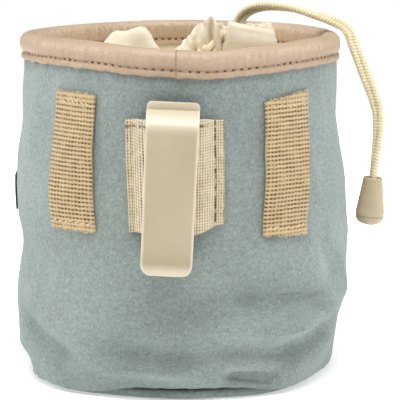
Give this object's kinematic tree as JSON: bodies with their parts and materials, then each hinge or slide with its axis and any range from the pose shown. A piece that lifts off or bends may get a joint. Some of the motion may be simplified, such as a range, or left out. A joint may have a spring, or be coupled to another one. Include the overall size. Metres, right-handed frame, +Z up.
{
  "type": "treat pouch",
  "caption": "Round soft pouch with a bound rim, a gathered drawstring closure, a spring belt clip held by a webbing band, and belt loops.",
  "frame": {"origin": "centre of the base, on the surface the pouch stands on", "axes": "+Z up through the mouth; the belt clip faces -Y; +X is to the right seen from the clip's side, where the drawstring hangs"},
  "size_m": [0.1272, 0.1262, 0.1271],
  "materials": {
    "softshell": "brushed softshell cloth, matt",
    "lining": "plain woven lining, matt",
    "stiffener": "plain strip",
    "binding_leather": "smooth grained imitation leather, satin",
    "thread": "spun sewing thread",
    "closure_nylon": "thin plain-weave nylon, soft sheen",
    "cord": "braided polyester cord",
    "bell_plastic": "moulded, satin",
    "band_webbing": "coarse woven webbing",
    "clip_plastic": "moulded, satin",
    "loop_webbing": "coarse woven webbing",
    "label": "blank woven label, matt"
  },
  "bodies": {
    "pouch": {"outer_wall": "softshell", "outer_base": "softshell", "lining_wall": "lining", "lining_base": "lining", "rim_stiffener": "stiffener", "rim_binding": "binding_leather", "binding_stitching": "thread", "closure_sleeve": "closure_nylon", "hem_tunnel": "closure_nylon", "drawstring_loop": "cord", "drawstring_tail": "cord", "cord_end_bell": "bell_plastic", "cord_end_cap": "bell_plastic", "cord_knot": "cord", "clip_band": "band_webbing", "band_stitching": "thread", "belt_loop_left": "loop_webbing", "belt_loop_right": "loop_webbing", "loop_stitching": "thread", "side_label": "label", "label_stitching": "thread"},
    "clip": {"clip_back_plate": "clip_plastic"},
    "clip_leg": {"clip_spring_leg": "clip_plastic"}
  },
  "joints": [
    {"name": "clip_lift", "type": "slide", "parent": "pouch", "child": "clip", "axis": [0.0454, 0, 0.999], "range_m": [0, 0.046]},
    {"name": "leg_flex", "type": "hinge", "parent": "clip", "child": "clip_leg", "pos_m": [-0.00231, -0.0616, 0.0982], "axis": [-0.999, 0, 0.0454], "range_deg": [0, 8], "stiffness_Nm_per_rad": 3}
  ]
}
